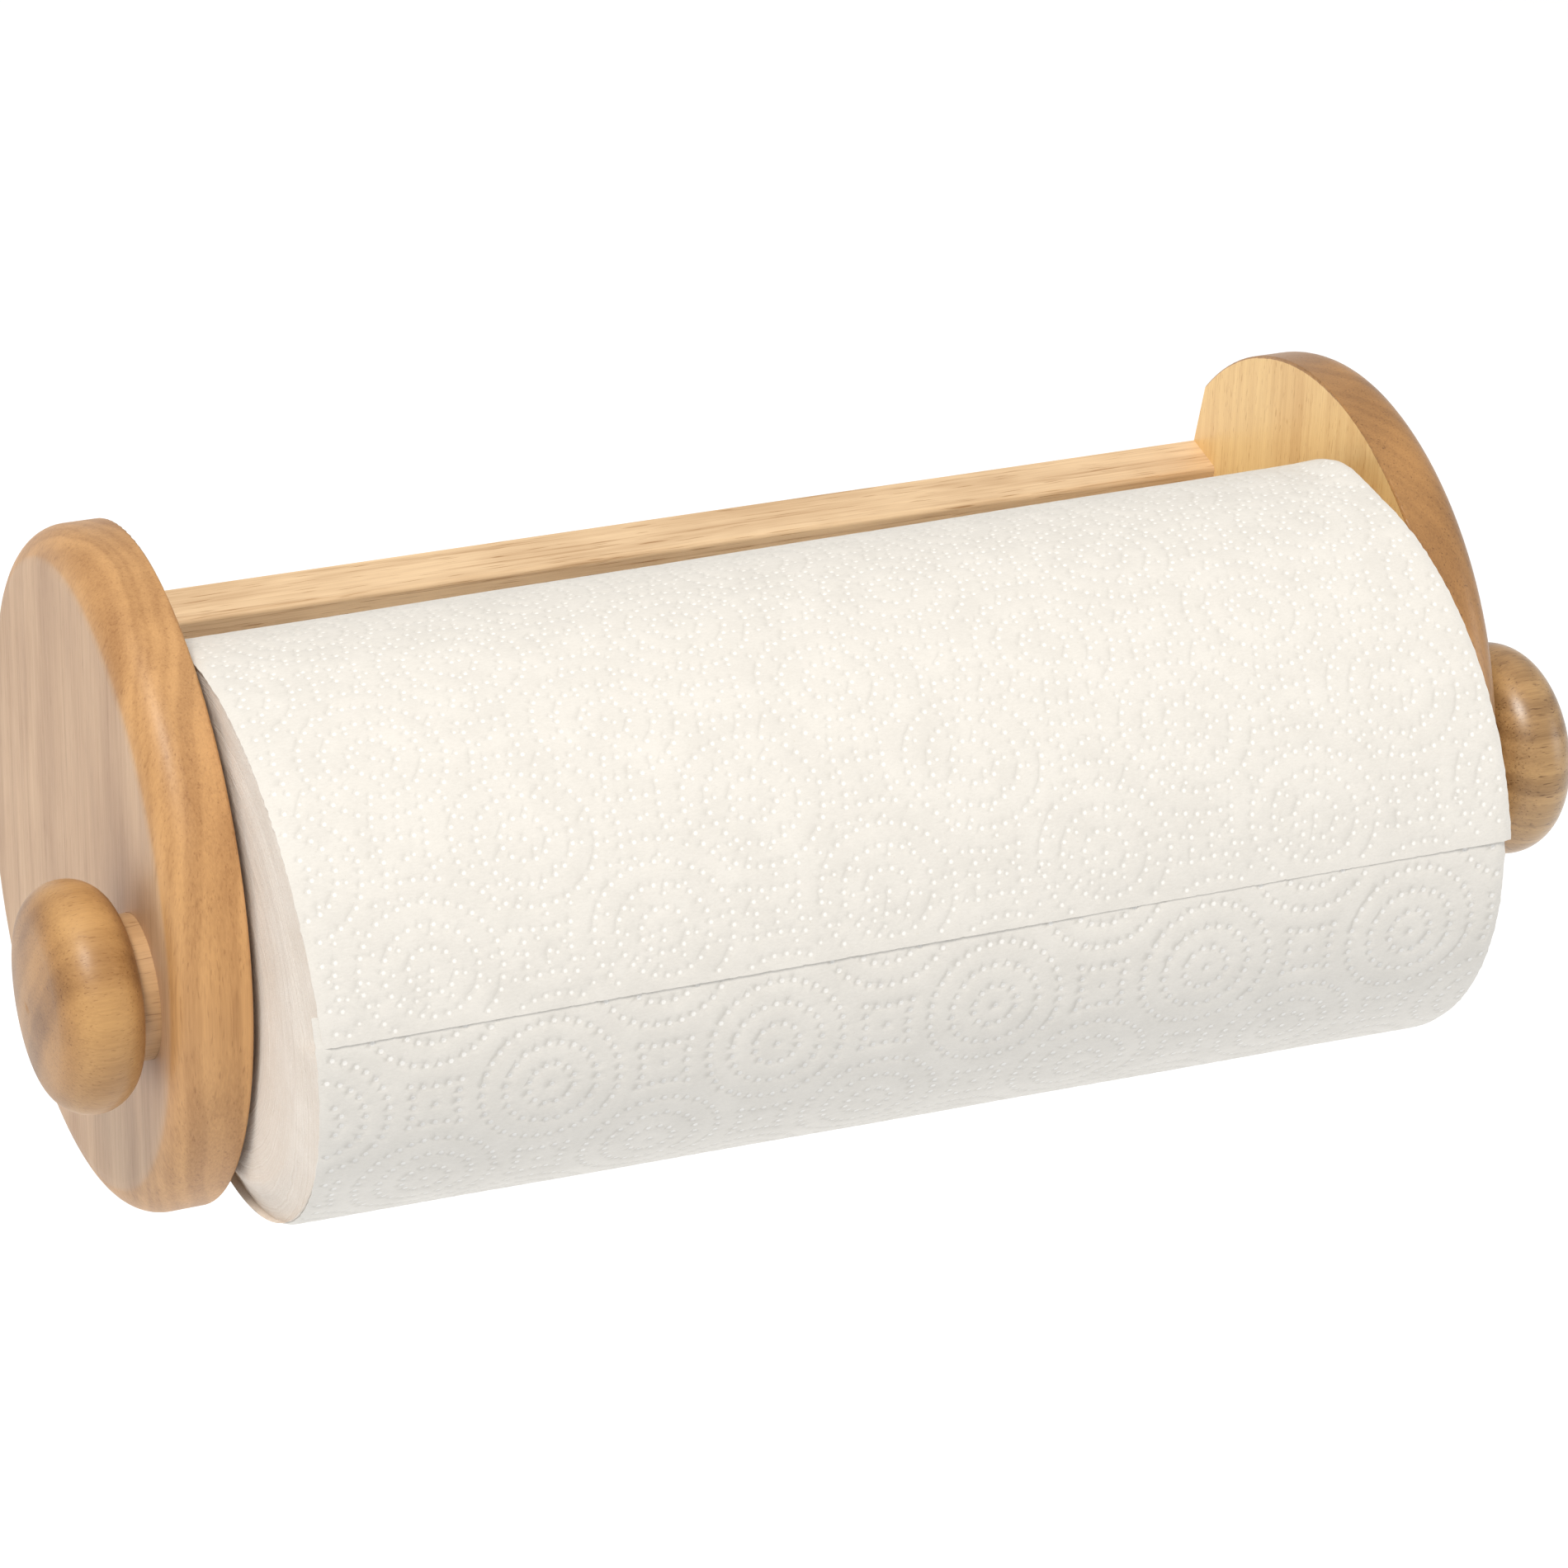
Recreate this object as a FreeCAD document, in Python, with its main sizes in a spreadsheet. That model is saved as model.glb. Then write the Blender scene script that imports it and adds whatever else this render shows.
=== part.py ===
"""Wall-mounted wooden paper towel holder, with a roll of towels on its rod.

Axes: +X along the rod, to the right as seen from the room; +Y into the wall; +Z up.
The origin lies on the wall plane, midway between the two screw holes of the back rail.
"""
import FreeCAD, Part
import os

import Sketcher

# Driving dimensions, in millimetres and degrees.
SIZES = {
    "gap": 289.0,                # between the inner faces of the end plates
    "plate_thickness": 16.7,
    "plate_radius": 78.5,        # round front of an end plate
    "plate_centre": 59.0,        # from the wall to the centre of that round front
    "plate_back": 88.0,          # height of the straight edge on the wall
    "plate_roundover": 8.5,      # large rounding of the outer edge
    "plate_ease": 0.6,           # light sanding of the inner edge
    "rail_height": 54.4,
    "rail_depth": 12.0,
    "rail_ease": 1.2,
    "screw_spacing": 200.0,
    "screw_hole": 5.0,
    "screw_head": 10.0,
    "dowel_diameter": 6.0,
    "dowel_length": 30.0,
    "dowel_in_plate": 10.0,
    "dowel_spacing": 30.0,
    "dowel_slack": 0.5,          # glue space at each blind end
    "dowel_chamfer": 0.7,
    "rod_diameter": 32.0,
    "rod_play": 0.12,            # on the diameter, in the holes of the end plates
    "rod_reach": 109.2,          # from the wall to the rod's axis
    "rod_rise": 8.7,             # rod's axis above the middle of the rail
    "rod_stand": 3.9,            # rod's shoulder beyond the outer face of a plate
    "tenon_diameter": 16.0,
    "tenon_length": 13.0,
    "tenon_play": 0.12,          # on the diameter, in a knob's socket
    "tenon_slack": 0.5,
    "tenon_chamfer": 0.8,
    "knob_diameter": 50.8,
    "knob_thickness": 20.8,      # from the flat back to the top of the dome
    "knob_rim": 9.6,             # radius of the rounding around the rim
    "core_bore": 38.0,
    "core_wall": 1.5,
    "hang_gap": 0.3,             # least space between the rod and the core that hangs on it
    "roll_length": 280.0,
    "roll_shift": -2.0,          # of the roll's middle along +X, so it hangs nearer the left plate
    "roll_left": 130.0,          # outer diameter at the left end
    "roll_right": 136.0,         # outer diameter at the right end, which is wound looser
    "tail_gap": 0.3,             # between the wound roll and its loose last sheet
    "tail_thickness": 0.6,
    "tail_overhang": 2.0,        # the loose sheet stands past the roll's right end
    "tail_start": 84.0,          # angle where the sheet leaves the roll, from +Y over the top
    "tail_end": 155.0,           # angle of the torn edge, at the front
}

X_AXIS = FreeCAD.Vector(1, 0, 0)
Y_AXIS = FreeCAD.Vector(0, 1, 0)
Z_AXIS = FreeCAD.Vector(0, 0, 1)

doc = FreeCAD.newDocument("paper_towel_holder")


def make_sheet():
    """Put every driving dimension in a cell with an alias."""
    sheet = doc.addObject("Spreadsheet::Sheet", "sizes")
    for row, (alias, value) in enumerate(SIZES.items(), start=1):
        sheet.set(f"A{row}", alias)
        sheet.set(f"B{row}", str(value))
        sheet.setAlias(f"B{row}", alias)
    doc.recompute()
    return sheet


def bind(thing, **expressions):
    """Bind properties to sheet expressions; double underscores stand for dots."""
    for name, expression in expressions.items():
        thing.setExpression(name.replace("__", "."), expression)


def bind_place(thing, x="0", y="0", z="0"):
    """Bind the position of an object's placement."""
    for letter, expression in zip("xyz", (x, y, z)):
        thing.setExpression(f"Placement.Base.{letter}", expression)


def new_body(label):
    """An empty PartDesign body with its node's name."""
    body = doc.addObject("PartDesign::Body", label)
    body.Label = label
    return body


def new_sketch(body, name, role, offset=None):
    """A sketch on one of the body's own origin planes, lifted by an optional expression."""
    sketch = body.newObject("Sketcher::SketchObject", f"{body.Label}_{name}")
    plane = next(item for item in body.Origin.OriginFeatures if item.Role == role)
    sketch.AttachmentSupport = (plane, [""])
    sketch.MapMode = "FlatFace"
    if offset:
        sketch.setExpression("AttachmentOffset.Base.z", offset)
    return sketch


def constrain(sketch, *entries):
    """Add constraints; an entry may end with {"to": expression} to bind its value."""
    for entry in entries:
        *definition, last = entry
        target = last.get("to") if isinstance(last, dict) else None
        if target is None:
            definition.append(last)
        index = sketch.addConstraint(Sketcher.Constraint(*definition))
        if target:
            sketch.setExpression(f"Constraints[{index}]", target)


def circle(sketch, x, y, diameter):
    """Draw a circle whose centre and diameter are bound to expressions."""
    centre = FreeCAD.Vector(sketch.evalExpression(x), sketch.evalExpression(y), 0)
    radius = sketch.evalExpression(diameter) / 2
    index = sketch.addGeometry(Part.Circle(centre, Z_AXIS, radius))
    for kind, place, start in (("DistanceX", x, centre.x), ("DistanceY", y, centre.y)):
        if abs(start) < 1e-9:
            axis = -2 if kind == "DistanceX" else -1
            constrain(sketch, ("PointOnObject", index, 3, axis))
        else:
            sign = "" if start > 0 else "-"
            ends = (-1, 1, index, 3) if start > 0 else (index, 3, -1, 1)
            constrain(sketch, (kind, *ends, abs(start), {"to": f"{sign}({place})"}))
    constrain(sketch, ("Diameter", index, 2 * radius, {"to": diameter}))


def pad(body, sketch, name, length, midplane=False, reverse=False):
    """Pad a sketch to a bound length."""
    feature = body.newObject("PartDesign::Pad", f"{body.Label}_{name}")
    feature.Profile = sketch
    feature.Midplane = midplane
    feature.Reversed = reverse
    bind(feature, Length=length)
    doc.recompute()
    return feature


def pocket(body, sketch, name, length=None, reverse=False):
    """Cut a sketch into the body, to a bound depth or all the way through."""
    before = body.Shape.Volume
    feature = body.newObject("PartDesign::Pocket", f"{body.Label}_{name}")
    feature.Profile = sketch
    feature.Reversed = reverse
    if length:
        bind(feature, Length=length)
    else:
        feature.Type = "ThroughAll"
        feature.Midplane = True
    doc.recompute()
    if feature.Shape.Volume > before - 1.0:
        raise RuntimeError(f"{feature.Name} cuts nothing")
    return feature


def round_edges(body, base, name, radius, wanted):
    """Fillet the edges of a feature for which wanted(edge) is true."""
    numbers = [n for n, edge in enumerate(base.Shape.Edges, start=1) if wanted(edge)]
    feature = body.newObject("PartDesign::Fillet", f"{body.Label}_{name}")
    feature.Base = (base, [f"Edge{n}" for n in numbers])
    bind(feature, Radius=radius)
    doc.recompute()
    return feature


def lies_at_x(edge, x):
    """True if the whole edge lies in the plane at this x."""
    box = edge.BoundBox
    return abs(box.XMin - x) < 1e-4 and abs(box.XMax - x) < 1e-4


def plate_outline(body):
    """Straight back edge, a half round front, and an arc that joins them above and below."""
    sketch = new_sketch(body, "outline", "YZ_Plane")
    radius = SIZES["plate_radius"]
    centre = SIZES["plate_centre"]
    half_back = SIZES["plate_back"] / 2
    drop = radius - half_back
    shoulder = (centre ** 2 + drop ** 2) / (2 * drop)
    top = FreeCAD.Vector(-centre, radius, 0)
    bottom = FreeCAD.Vector(-centre, -radius, 0)
    front = FreeCAD.Vector(-centre - radius, 0, 0)
    corner_up = FreeCAD.Vector(0, half_back, 0)
    corner_low = FreeCAD.Vector(0, -half_back, 0)
    turn = FreeCAD.Vector(0.3, 0.954, 0).normalize() * shoulder
    mid_up = FreeCAD.Vector(-centre + turn.x, radius - shoulder + turn.y, 0)
    mid_low = FreeCAD.Vector(mid_up.x, -mid_up.y, 0)
    back = sketch.addGeometry(Part.LineSegment(corner_low, corner_up))
    upper = sketch.addGeometry(Part.Arc(corner_up, mid_up, top))
    nose = sketch.addGeometry(Part.Arc(top, front, bottom))
    lower = sketch.addGeometry(Part.Arc(bottom, mid_low, corner_low))
    constrain(
        sketch,
        ("Coincident", back, 2, upper, 1),
        ("Tangent", upper, 2, nose, 1),
        ("Tangent", nose, 2, lower, 1),
        ("Coincident", lower, 2, back, 1),
        ("PointOnObject", back, 1, -2),
        ("PointOnObject", back, 2, -2),
        ("PointOnObject", nose, 3, -1),
        ("Vertical", upper, 3, nose, 3),
        ("Equal", upper, lower),
        ("DistanceX", nose, 3, -1, 1, centre, {"to": "sizes.plate_centre"}),
        ("Radius", nose, radius, {"to": "sizes.plate_radius"}),
        ("DistanceY", back, 1, back, 2, 2 * half_back, {"to": "sizes.plate_back"}),
    )
    return sketch


def end_plate(label, side):
    """One end plate; its inner face lies at local x = 0 and side says which way is outward."""
    body = new_body(label)
    outward_is_negative = side < 0
    slab = pad(body, plate_outline(body), "slab", "sizes.plate_thickness",
               reverse=outward_is_negative)
    outer_x = side * SIZES["plate_thickness"]
    rounded = round_edges(body, slab, "roundover", "sizes.plate_roundover",
                          lambda edge: lies_at_x(edge, outer_x) and edge.BoundBox.YLength > 1)
    round_edges(body, rounded, "ease", "sizes.plate_ease",
                lambda edge: lies_at_x(edge, 0) and edge.BoundBox.YLength > 1)
    rod_hole = new_sketch(body, "rod_hole", "YZ_Plane")
    circle(rod_hole, "-sizes.rod_reach", "sizes.rod_rise", "sizes.rod_diameter + sizes.rod_play")
    pocket(body, rod_hole, "rod_bore")
    dowel_holes = new_sketch(body, "dowel_holes", "YZ_Plane")
    for height in ("sizes.dowel_spacing / 2", "-sizes.dowel_spacing / 2"):
        circle(dowel_holes, "-sizes.rail_depth / 2", height, "sizes.dowel_diameter")
    pocket(body, dowel_holes, "dowel_bores", "sizes.dowel_in_plate + sizes.dowel_slack",
           reverse=not outward_is_negative)
    bind_place(body, x=f"{side} * sizes.gap / 2")


def back_rail():
    """Board between the plates, with two countersunk screw holes and dowel holes in its ends."""
    body = new_body("back_rail")
    face = new_sketch(body, "face", "XZ_Plane")
    half_width = SIZES["gap"] / 2
    half_height = SIZES["rail_height"] / 2
    corners = [FreeCAD.Vector(x, z, 0) for x, z in (
        (-half_width, -half_height), (half_width, -half_height),
        (half_width, half_height), (-half_width, half_height))]
    sides = [face.addGeometry(Part.LineSegment(corners[n - 1], corners[n])) for n in range(4)]
    for n in range(4):
        constrain(face, ("Coincident", sides[n - 1], 2, sides[n], 1))
    left, low, right, high = sides
    constrain(
        face,
        ("Horizontal", low), ("Horizontal", high), ("Vertical", left), ("Vertical", right),
        ("Symmetric", low, 1, high, 1, -1, 1),
        ("DistanceX", low, 1, low, 2, 2 * half_width, {"to": "sizes.gap"}),
        ("DistanceY", right, 1, right, 2, 2 * half_height, {"to": "sizes.rail_height"}),
    )
    board = pad(body, face, "board", "sizes.rail_depth")
    front_y = -SIZES["rail_depth"]

    def is_front_edge(edge):
        box = edge.BoundBox
        return box.XLength > 1 and abs(box.YMin - front_y) < 1e-4 and abs(box.YMax - front_y) < 1e-4

    round_edges(body, board, "ease", "sizes.rail_ease", is_front_edge)
    screws = new_sketch(body, "screws", "XZ_Plane", "sizes.rail_depth")
    for place in ("-sizes.screw_spacing / 2", "sizes.screw_spacing / 2"):
        circle(screws, place, "0", "sizes.screw_hole")
    doc.recompute()
    before = body.Shape.Volume
    holes = body.newObject("PartDesign::Hole", "back_rail_screw_holes")
    holes.Profile = screws
    holes.DepthType = "ThroughAll"
    holes.HoleCutType = "Countersink"
    holes.HoleCutCountersinkAngle = 90
    bind(holes, Diameter="sizes.screw_hole", HoleCutDiameter="sizes.screw_head")
    doc.recompute()
    if holes.Shape.Volume > before - 1.0:
        raise RuntimeError("the screw holes cut nothing")
    ends = new_sketch(body, "dowel_holes", "YZ_Plane", "sizes.gap / 2")
    for height in ("sizes.dowel_spacing / 2", "-sizes.dowel_spacing / 2"):
        circle(ends, "-sizes.rail_depth / 2", height, "sizes.dowel_diameter")
    depth = "sizes.dowel_length - sizes.dowel_in_plate + sizes.dowel_slack"
    bores = pocket(body, ends, "dowel_bores", depth)
    mirror = body.newObject("PartDesign::Mirrored", "back_rail_other_end")
    mirror.Originals = [bores]
    plane = next(item for item in body.Origin.OriginFeatures if item.Role == "YZ_Plane")
    mirror.MirrorPlane = (plane, [""])
    body.Tip = mirror
    doc.recompute()


def dowel(label, side, height):
    """One glued dowel pin across the joint between the rail and a plate."""
    pin = doc.addObject("Part::Cylinder", f"{label}_pin")
    bind(pin, Radius="sizes.dowel_diameter / 2", Height="sizes.dowel_length")
    pin.Placement = FreeCAD.Placement(FreeCAD.Vector(), FreeCAD.Rotation(Y_AXIS, 90))
    inner_end = f"{side} * (sizes.gap / 2 + sizes.dowel_in_plate) - sizes.dowel_length * {side > 0:d}"
    bind_place(pin, x=inner_end, y="-sizes.rail_depth / 2", z=f"{height} * sizes.dowel_spacing / 2")
    doc.recompute()
    ends = [n for n, edge in enumerate(pin.Shape.Edges, start=1) if edge.Closed and
            edge.BoundBox.XLength < 1e-4]
    ease = SIZES["dowel_chamfer"]
    chamfered = doc.addObject("Part::Chamfer", label)
    chamfered.Base = pin
    chamfered.Edges = [(n, ease, ease) for n in ends]
    chamfered.Label = label


def rod():
    """Through rod with a tenon turned on each end for its knob."""
    body = new_body("rod")
    shaft = new_sketch(body, "section", "YZ_Plane")
    circle(shaft, "0", "0", "sizes.rod_diameter")
    length = "sizes.gap + 2 * (sizes.plate_thickness + sizes.rod_stand)"
    pad(body, shaft, "shaft", length, midplane=True)
    tenon = new_sketch(body, "tenon", "YZ_Plane")
    circle(tenon, "0", "0", "sizes.tenon_diameter")
    tenons = pad(body, tenon, "tenons", f"{length} + 2 * sizes.tenon_length", midplane=True)
    far_x = tenons.Shape.BoundBox.XMax
    tips = [n for n, edge in enumerate(tenons.Shape.Edges, start=1)
            if lies_at_x(edge, far_x) or lies_at_x(edge, -far_x)]
    chamfer = body.newObject("PartDesign::Chamfer", "rod_tips")
    chamfer.Base = (tenons, [f"Edge{n}" for n in tips])
    bind(chamfer, Size="sizes.tenon_chamfer")
    bind_place(body, y="-sizes.rod_reach", z="sizes.rod_rise")
    doc.recompute()


def knob(label, side):
    """Turned knob: flat back, round rim and a shallow dome; its blind socket takes a tenon."""
    body = new_body(label)
    profile = new_sketch(body, "profile", "XY_Plane")
    rim = SIZES["knob_rim"]
    flat = SIZES["knob_diameter"] / 2 - rim
    thickness = SIZES["knob_thickness"]
    reach = thickness - rim
    dome = (reach ** 2 + flat ** 2 - rim ** 2) / (2 * (reach - rim))
    rim_centre = FreeCAD.Vector(rim, flat, 0)
    dome_centre = FreeCAD.Vector(thickness - dome, 0, 0)
    outward = (rim_centre - dome_centre).normalize()
    meeting = rim_centre + outward * rim
    apex = FreeCAD.Vector(thickness, 0, 0)
    shallow = (outward + X_AXIS).normalize()
    steep = (outward - X_AXIS).normalize()
    axis = profile.addGeometry(Part.LineSegment(apex, FreeCAD.Vector()))
    base = profile.addGeometry(Part.LineSegment(FreeCAD.Vector(), FreeCAD.Vector(0, flat, 0)))
    edge = profile.addGeometry(
        Part.Arc(FreeCAD.Vector(0, flat, 0), rim_centre + steep * rim, meeting))
    cap = profile.addGeometry(Part.Arc(meeting, dome_centre + shallow * dome, apex))
    constrain(
        profile,
        ("Coincident", axis, 2, base, 1),
        ("Coincident", base, 1, -1, 1),
        ("PointOnObject", axis, 1, -1),
        ("PointOnObject", base, 2, -2),
        ("Tangent", base, 2, edge, 2),
        ("Tangent", edge, 1, cap, 2),
        ("Coincident", cap, 1, axis, 1),
        ("PointOnObject", cap, 3, -1),
        ("DistanceY", -1, 1, edge, 3, flat, {"to": "sizes.knob_diameter / 2 - sizes.knob_rim"}),
        ("Radius", edge, rim, {"to": "sizes.knob_rim"}),
        ("DistanceX", -1, 1, axis, 1, thickness, {"to": "sizes.knob_thickness"}),
    )
    turned = body.newObject("PartDesign::Revolution", f"{label}_turned")
    turned.Profile = profile
    turned.ReferenceAxis = (profile, ["H_Axis"])
    turned.Angle = 360
    doc.recompute()
    socket = new_sketch(body, "socket", "YZ_Plane")
    circle(socket, "0", "0", "sizes.tenon_diameter + sizes.tenon_play")
    pocket(body, socket, "bore", "sizes.tenon_length + sizes.tenon_slack", reverse=True)
    if side < 0:
        body.Placement = FreeCAD.Placement(FreeCAD.Vector(), FreeCAD.Rotation(Z_AXIS, 180))
    bind_place(body, x=f"{side} * (sizes.gap / 2 + sizes.plate_thickness + sizes.rod_stand)",
               y="-sizes.rod_reach", z="sizes.rod_rise")
    doc.recompute()


ROLL_HEIGHT = "sizes.rod_rise - (sizes.core_bore - sizes.rod_diameter) / 2 + sizes.hang_gap"
ROLL_LEFT_END = "sizes.roll_shift - sizes.roll_length / 2"


def roll_solid(kind, name, start_angle=0, shift="0", **sizes):
    """A cylinder or cone along the roll's own axis, which hangs a little below the rod's."""
    solid = doc.addObject(f"Part::{kind}", name)
    bind(solid, Height="sizes.roll_length", **sizes)
    along_x = FreeCAD.Rotation(Y_AXIS, 90)
    solid.Placement.Rotation = along_x.multiply(FreeCAD.Rotation(Z_AXIS, start_angle + 90))
    bind_place(solid, x=f"{ROLL_LEFT_END} + {shift}", y="-sizes.rod_reach", z=ROLL_HEIGHT)
    return solid


def hollow(label, outside, inside):
    """Cut one solid out of another, as a sub-part."""
    cut = doc.addObject("Part::Cut", label)
    cut.Base = outside
    cut.Tool = inside
    cut.Label = label


def roll():
    """Cardboard core, wound paper, and the loose last sheet that lies over the roll's front."""
    core_radius = "sizes.core_bore / 2 + sizes.core_wall"
    hollow("roll_core",
           roll_solid("Cylinder", "core_outside", Radius=core_radius),
           roll_solid("Cylinder", "core_inside", Radius="sizes.core_bore / 2"))
    hollow("paper_roll",
           roll_solid("Cone", "paper_outside", Radius1="sizes.roll_left / 2",
                      Radius2="sizes.roll_right / 2"),
           roll_solid("Cylinder", "paper_inside", Radius=core_radius))
    lift = "sizes.tail_gap"
    skin = "sizes.tail_gap + sizes.tail_thickness"
    tail_solids = [
        roll_solid("Cone", name, SIZES["tail_start"], "sizes.tail_overhang",
                   Radius1=f"sizes.roll_left / 2 + {more}",
                   Radius2=f"sizes.roll_right / 2 + {more}",
                   Angle="sizes.tail_end - sizes.tail_start")
        for name, more in (("tail_outside", skin), ("tail_inside", lift))]
    hollow("paper_tail", *tail_solids)


def build():
    """Make every sub-part, and return their labels."""
    make_sheet()
    end_plate("end_plate_left", -1)
    end_plate("end_plate_right", 1)
    back_rail()
    dowels = []
    for side, side_name in ((-1, "left"), (1, "right")):
        for height, height_name in ((1, "upper"), (-1, "lower")):
            dowels.append(f"dowel_{side_name}_{height_name}")
            dowel(dowels[-1], side, height)
    rod()
    knob("knob_left", -1)
    knob("knob_right", 1)
    roll()
    doc.recompute()
    return ["end_plate_left", "end_plate_right", "back_rail", *dowels, "rod", "knob_left",
            "knob_right", "roll_core", "paper_roll", "paper_tail"]


def check(labels):
    """Stop if any object failed or any sub-part isn't one valid solid."""
    for thing in doc.Objects:
        if "Invalid" in thing.State or "Error" in thing.State:
            raise RuntimeError(f"{thing.Name} failed: {thing.State}")
    for label in labels:
        shape = doc.getObjectsByLabel(label)[0].Shape
        if shape.isNull() or not shape.isValid() or len(shape.Solids) != 1:
            raise RuntimeError(f"{label} isn't one valid solid")


def export(labels):
    """Write each sub-part to its own file."""
    os.makedirs("parts", exist_ok=True)
    for label in labels:
        doc.getObjectsByLabel(label)[0].Shape.exportStep(f"parts/{label}.step")


names = build()
check(names)
export(names)
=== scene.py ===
"""Looks of a wall-mounted wooden paper towel holder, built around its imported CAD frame.

Lengths are in metres. On the roll, an angle is the ellipse's own angle: 0 is the side next
to the wall, 90 degrees is the top and 180 degrees is the front.
"""

import math

import bpy
import numpy as np
from mathutils import Matrix, Vector
from mathutils.geometry import delaunay_2d_cdt
from mathutils.kdtree import KDTree


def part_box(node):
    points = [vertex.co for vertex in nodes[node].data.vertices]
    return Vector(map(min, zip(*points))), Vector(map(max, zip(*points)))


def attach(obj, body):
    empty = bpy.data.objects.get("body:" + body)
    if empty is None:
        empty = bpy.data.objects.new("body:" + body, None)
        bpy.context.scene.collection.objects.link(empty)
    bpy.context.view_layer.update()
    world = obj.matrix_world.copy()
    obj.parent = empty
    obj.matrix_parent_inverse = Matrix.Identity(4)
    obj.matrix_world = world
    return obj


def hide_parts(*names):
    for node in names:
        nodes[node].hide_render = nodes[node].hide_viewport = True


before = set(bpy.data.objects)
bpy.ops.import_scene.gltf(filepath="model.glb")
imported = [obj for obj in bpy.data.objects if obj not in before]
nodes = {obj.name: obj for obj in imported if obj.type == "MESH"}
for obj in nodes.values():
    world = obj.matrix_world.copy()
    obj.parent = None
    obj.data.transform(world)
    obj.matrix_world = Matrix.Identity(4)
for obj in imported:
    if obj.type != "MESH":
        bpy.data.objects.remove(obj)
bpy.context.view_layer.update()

MM = 0.001

# ---------------------------------------------------------------- node helpers


class Graph:
    """One material's node graph, with a short method for each kind of node."""

    def __init__(self, name):
        self.material = bpy.data.materials.new(name)
        self.material.use_nodes = True
        self.tree = self.material.node_tree
        self.shader = self.tree.nodes["Principled BSDF"]

    def put(self, socket, value):
        """Link an output to a socket, or set a plain value on it."""
        if isinstance(value, bpy.types.NodeSocket):
            self.tree.links.new(value, socket)
        else:
            socket.default_value = value

    def node(self, kind, inputs=(), **settings):
        made = self.tree.nodes.new("ShaderNode" + kind)
        for key, value in settings.items():
            setattr(made, key, value)
        for key, value in dict(inputs).items():
            self.put(made.inputs[key], value)
        return made

    def math(self, operation, a, b=0.0, c=0.0, clamp=False):
        """Arithmetic on values; MULTIPLY_ADD is a * b + c."""
        made = self.node("Math", {0: a, 1: b, 2: c}, operation=operation, use_clamp=clamp)
        return made.outputs[0]

    def place(self):
        """The point's own coordinates on its object."""
        return self.node("TexCoord").outputs["Object"]

    def split(self, vector):
        return self.node("SeparateXYZ", {0: vector}).outputs

    def hypotenuse(self, a, b):
        """The long side over two sides at right angles."""
        squares = self.math("ADD", self.math("MULTIPLY", a, a), self.math("MULTIPLY", b, b))
        return self.math("SQRT", squares)

    def noise(self, vector, sizes, detail=2.0, rough=0.5, distort=0.0):
        """Noise whose features have a size along each axis."""
        inverse = tuple(1.0 / size for size in sizes)
        scaled = self.node("VectorMath", {0: vector, 1: inverse}, operation="MULTIPLY")
        made = self.node("TexNoise", {"Vector": scaled.outputs[0], "Scale": 1.0,
                                      "Detail": detail, "Roughness": rough,
                                      "Distortion": distort})
        return made.outputs["Fac"]

    def line_noise(self, value, detail):
        """Noise along one value."""
        made = self.node("TexNoise", {"W": value, "Scale": 1.0, "Detail": detail},
                         noise_dimensions="1D")
        return made.outputs["Fac"]

    def ramp(self, value, low, high, out_low=0.0, out_high=1.0):
        """A soft step from out_low to out_high as the value goes from low to high."""
        made = self.node("MapRange", {"Value": value, "From Min": low, "From Max": high,
                                      "To Min": out_low, "To Max": out_high},
                         interpolation_type="SMOOTHSTEP")
        return made.outputs[0]

    def mix(self, share, a, b):
        """A share of colour b in colour a; 6, 7 and 2 are the node's colour sockets."""
        made = self.node("Mix", data_type="RGBA")
        self.put(made.inputs[0], share)
        self.put(made.inputs[6], a)
        self.put(made.inputs[7], b)
        return made.outputs[2]

    def finish(self, colour, roughness, height, strength, distance, **plain):
        """Fill the shader's sockets; plain holds single values by socket name."""
        bump = self.node("Bump", {"Height": height, "Strength": strength, "Distance": distance})
        self.put(self.shader.inputs["Base Color"], colour)
        self.put(self.shader.inputs["Roughness"], roughness)
        self.put(self.shader.inputs["Normal"], bump.outputs[0])
        for name, value in plain.items():
            self.shader.inputs[name.replace("_", " ")].default_value = value
        return self.material


def rgb(red, green, blue):
    """An sRGB colour from 0 to 255 as linear RGBA."""
    def linear(value):
        share = value / 255
        return share / 12.92 if share <= 0.04045 else ((share + 0.055) / 1.055) ** 2.4
    return (linear(red), linear(green), linear(blue), 1.0)


# ---------------------------------------------------------------- wood

AXIS = {"X": 0, "Y": 1, "Z": 2}


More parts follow.
